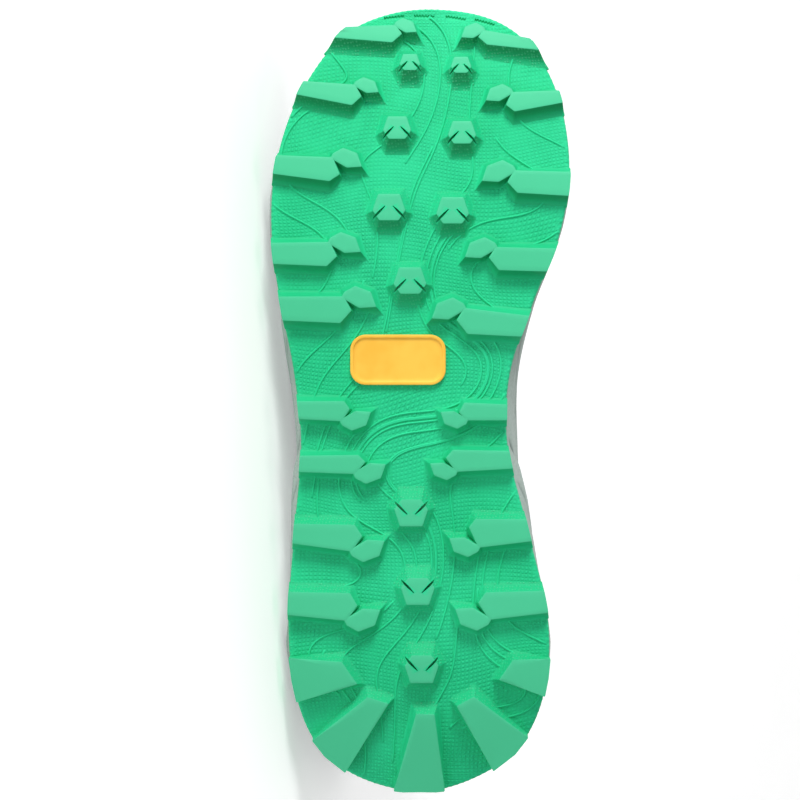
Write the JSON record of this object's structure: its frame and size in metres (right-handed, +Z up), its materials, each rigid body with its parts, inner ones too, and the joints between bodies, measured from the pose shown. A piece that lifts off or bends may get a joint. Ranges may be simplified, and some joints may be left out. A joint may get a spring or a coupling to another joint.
{
  "type": "trail running shoe",
  "caption": "Right trail running shoe with a lugged rubber outsole, a thick foam midsole and a lace-up upper, lying on its lateral side.",
  "frame": {"origin": "centre of the bounding box's bottom face, on the floor that the shoe lies on", "axes": "+Z up, +X from the toe to the heel, the tread faces -Y, and the medial side is up"},
  "size_m": [0.2984, 0.1488, 0.1164],
  "materials": {
    "rubber_green": "matt moulded rubber",
    "plate_yellow": "smooth satin",
    "foam_grey": "matt foam skin",
    "lining_green": "brushed textile",
    "knit_grey": "open mesh",
    "overlay_dark": "matt film",
    "tongue_grey": "padded mesh",
    "lace_green": "flat braid"
  },
  "bodies": {
    "root": {"outsole": "rubber_green", "inlay_plate": "plate_yellow", "midsole": "foam_grey", "insole": "lining_green", "upper": "knit_grey", "toe_cap": "overlay_dark", "heel_counter": "overlay_dark", "eyestay": "overlay_dark", "tongue": "tongue_grey", "laces": "lace_green"}
  },
  "joints": []
}
